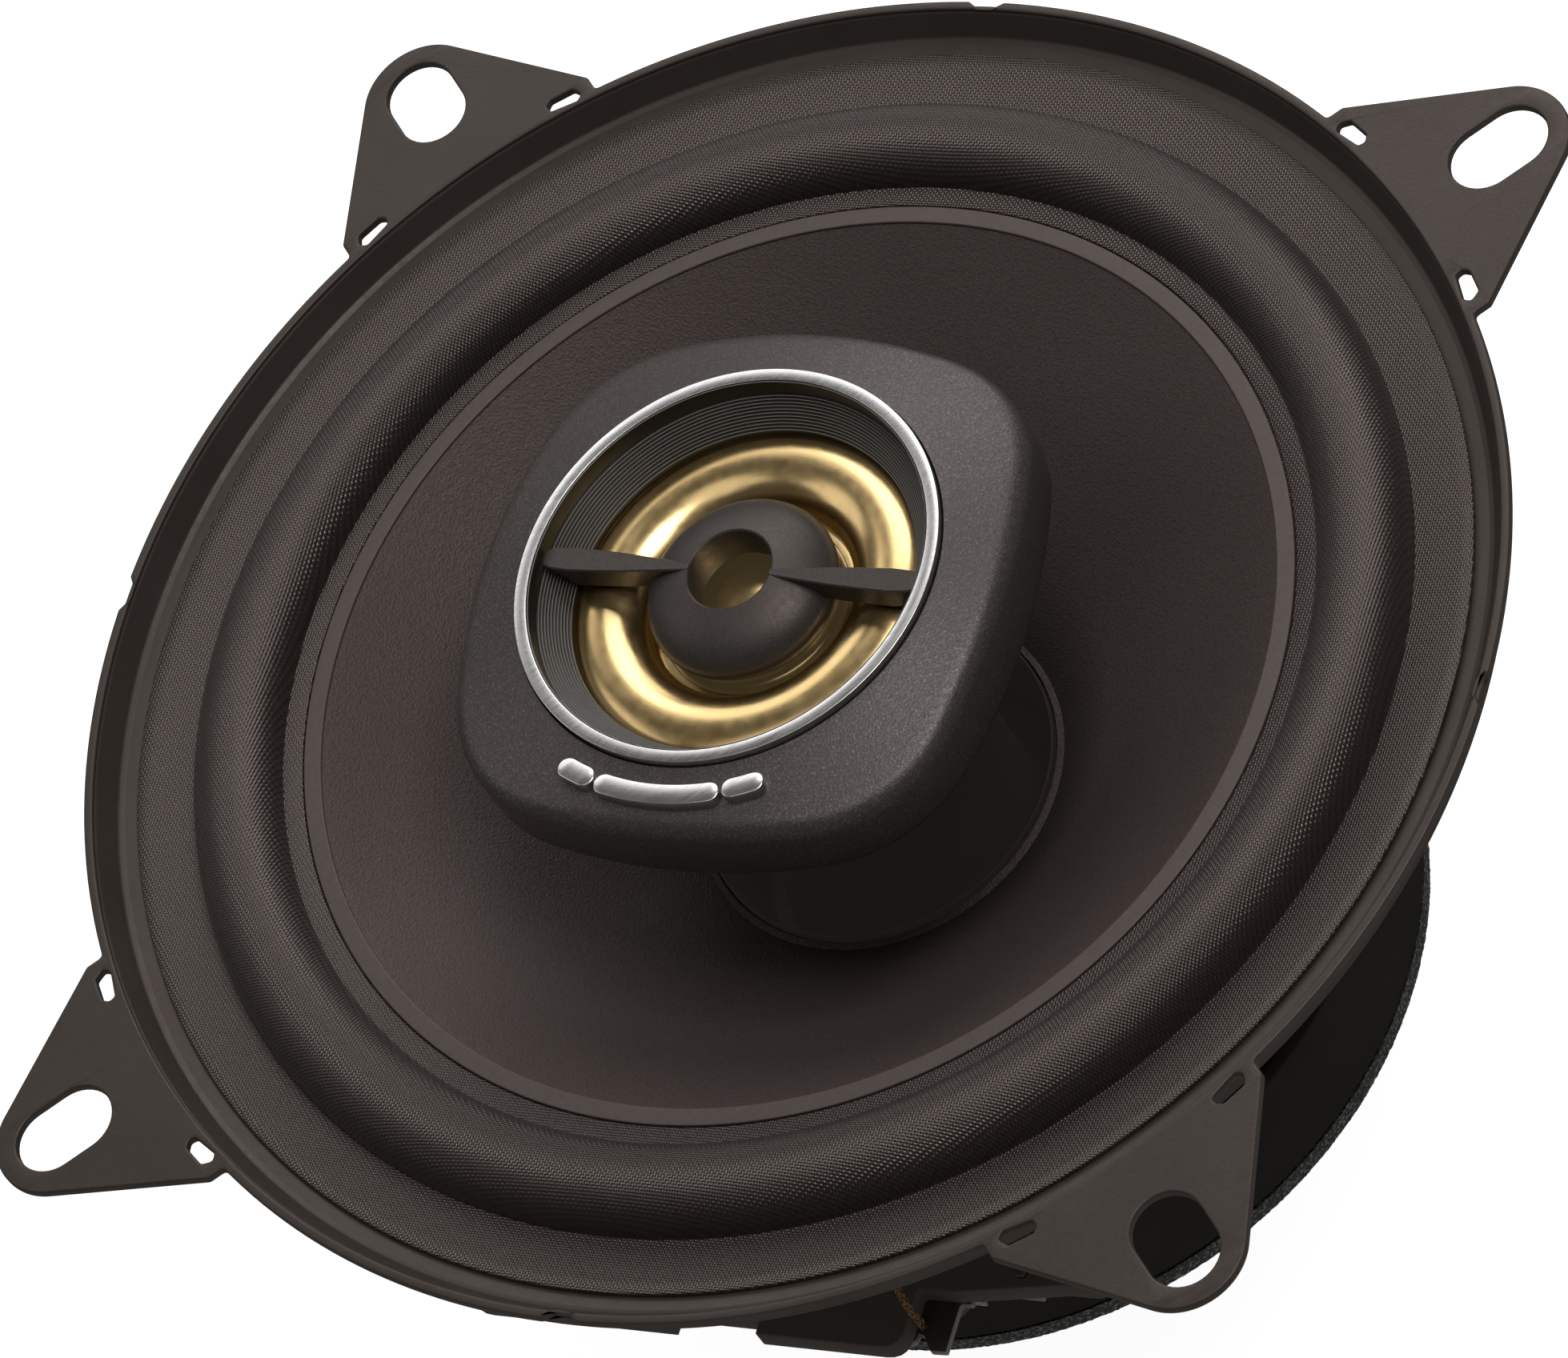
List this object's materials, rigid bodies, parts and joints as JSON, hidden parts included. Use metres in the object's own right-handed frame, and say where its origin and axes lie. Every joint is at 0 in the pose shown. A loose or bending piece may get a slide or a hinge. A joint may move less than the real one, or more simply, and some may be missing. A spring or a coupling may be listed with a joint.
{
  "type": "coaxial car speaker",
  "caption": "Round two-way coaxial speaker: pressed-steel basket with slotted mounting ears, cloth-edged cone and a gold tweeter in a rounded square housing on a central post.",
  "frame": {"origin": "on the speaker's axis, in the plane of the mounting ears' rear faces, which lie on the panel", "axes": "+Z along the speaker's axis, out of the cone; +X and +Y each through the middle of a mounting ear"},
  "size_m": [0.1262, 0.1262, 0.0533],
  "materials": {
    "basket_steel": "satin black-brown powder coat",
    "plated_steel": "zinc plated",
    "ferrite": "ground ceramic",
    "boot_rubber": "matte with a rough rear band",
    "surround_cloth": "coated fine weave",
    "spider_cloth": "resin-dipped open weave",
    "cone_polymer": "fine leather grain, smooth rim",
    "former_foil": "dark lacquered foil",
    "copper_winding": "enamelled wire",
    "brass": "turned",
    "post_plastic": "glass-filled",
    "housing_plastic": "fine metallic grain, soft edges",
    "bezel_aluminium": "circular brushed",
    "horn_plastic": "gloss black, fine steps",
    "plug_plastic": "satin",
    "gold_film": "polished gold film",
    "neodymium": "nickel plated",
    "board_black": "moulded",
    "terminal_tin": "tin plated",
    "capacitor_sleeve": "shrink sleeve",
    "wire_red": "insulated",
    "wire_black": "insulated",
    "tinsel": "braided tinsel"
  },
  "bodies": {
    "frame": {"basket": "basket_steel", "top_plate": "plated_steel", "basket_rivets": "plated_steel", "magnet": "ferrite", "yoke": "plated_steel", "magnet_boot": "boot_rubber", "surround": "surround_cloth", "spider": "spider_cloth", "tweeter_post": "post_plastic", "post_nut": "plated_steel", "tweeter_housing": "housing_plastic", "tweeter_bezel": "bezel_aluminium", "tweeter_horn": "horn_plastic", "phase_plug": "plug_plastic", "badge": "bezel_aluminium", "tweeter_yoke": "plated_steel", "tweeter_magnet": "neodymium", "tweeter_pole_plate": "plated_steel", "tweeter_surround": "gold_film", "terminal_board": "board_black", "terminal_positive": "terminal_tin", "terminal_negative": "terminal_tin", "terminal_rivets": "plated_steel", "board_rivets": "plated_steel", "capacitor": "capacitor_sleeve", "capacitor_lead_in": "terminal_tin", "capacitor_lead_out": "terminal_tin", "tweeter_wire_positive": "wire_red", "tweeter_wire_negative": "wire_black", "tinsel_lead_positive": "tinsel", "tinsel_lead_negative": "tinsel"},
    "cone_assembly": {"cone": "cone_polymer", "voice_coil_former": "former_foil", "voice_coil": "copper_winding", "lead_pads": "brass"},
    "dome_assembly": {"tweeter_dome": "gold_film", "tweeter_coil": "copper_winding"}
  },
  "joints": [
    {"name": "cone_stroke", "type": "slide", "parent": "frame", "child": "cone_assembly", "axis": [0, 0, 1], "range_m": [-0.003, 0.003], "stiffness_N_per_m": 2600, "deforming": ["surround", "spider", "tinsel_lead_positive", "tinsel_lead_negative"]},
    {"name": "dome_stroke", "type": "slide", "parent": "frame", "child": "dome_assembly", "axis": [0, 0, 1], "range_m": [-0.00025, 0.00025], "stiffness_N_per_m": 8000, "deforming": ["tweeter_surround"]}
  ]
}
